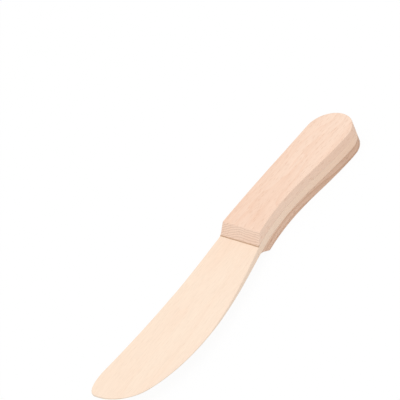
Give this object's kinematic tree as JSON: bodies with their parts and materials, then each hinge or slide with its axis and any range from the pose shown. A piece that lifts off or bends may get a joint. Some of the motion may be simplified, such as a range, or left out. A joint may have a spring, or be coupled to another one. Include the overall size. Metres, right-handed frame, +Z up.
{
  "type": "butter knife",
  "caption": "Wooden butter knife with a broad curved blade on a full-length tang, glued between flat handle boards with sloping shoulders.",
  "frame": {"origin": "centre of the bounding box, on the plane that the knife lies on", "axes": "+X along the knife from the butt to the tip, +Y from the spine towards the belly edge, +Z up, square to the faces of the handle"},
  "size_m": [0.17, 0.0316, 0.012],
  "materials": {
    "front_board": "sanded, unoiled steamed beech, pinkish",
    "back_board": "sanded, unoiled steamed beech, a little redder",
    "blade_board": "fine sanded, unoiled pale beech",
    "glue": "dried wood glue, thin and dull"
  },
  "bodies": {
    "root": {"back_scale": "back_board", "back_glue_line": "glue", "blade": "blade_board", "front_glue_line": "glue", "front_scale": "front_board"}
  },
  "joints": []
}
